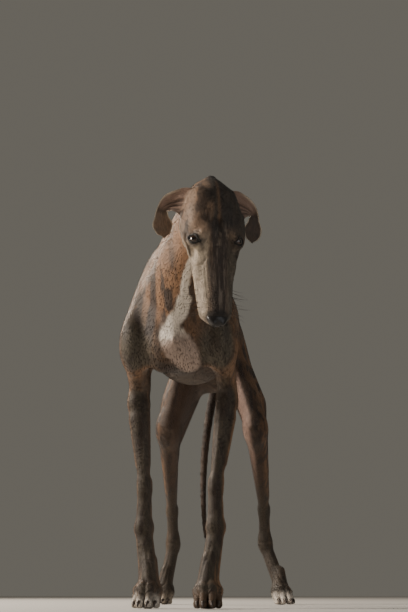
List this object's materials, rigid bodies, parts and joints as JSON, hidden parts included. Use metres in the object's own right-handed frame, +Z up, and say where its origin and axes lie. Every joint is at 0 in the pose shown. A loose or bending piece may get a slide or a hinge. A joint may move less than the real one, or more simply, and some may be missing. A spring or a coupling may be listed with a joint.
{
  "type": "greyhound figure",
  "caption": "Life-size greyhound standing still with its hind feet spread and its head hanging, turned a little to its left; rose ears, tail hanging straight.",
  "frame": {"origin": "middle of the figure's box, on the floor that its feet stand on", "axes": "+Z up; the dog faces -Y, so that the body runs along Y; +X is the dog's left side"},
  "size_m": [0.3432, 1.0418, 0.7684],
  "materials": {
    "coat": "short flat brindle hair",
    "nose_leather": "moist black skin",
    "eye": "wet dark brown"
  },
  "bodies": {
    "root": {"torso": "coat", "neck": "coat", "tail": "coat", "head": "coat", "ear_left": "coat", "ear_right": "coat", "foreleg_left": "coat", "foreleg_right": "coat", "hindleg_left": "coat", "hindleg_right": "coat", "nose": "nose_leather", "eye_left": "eye", "eye_right": "eye"}
  },
  "joints": []
}
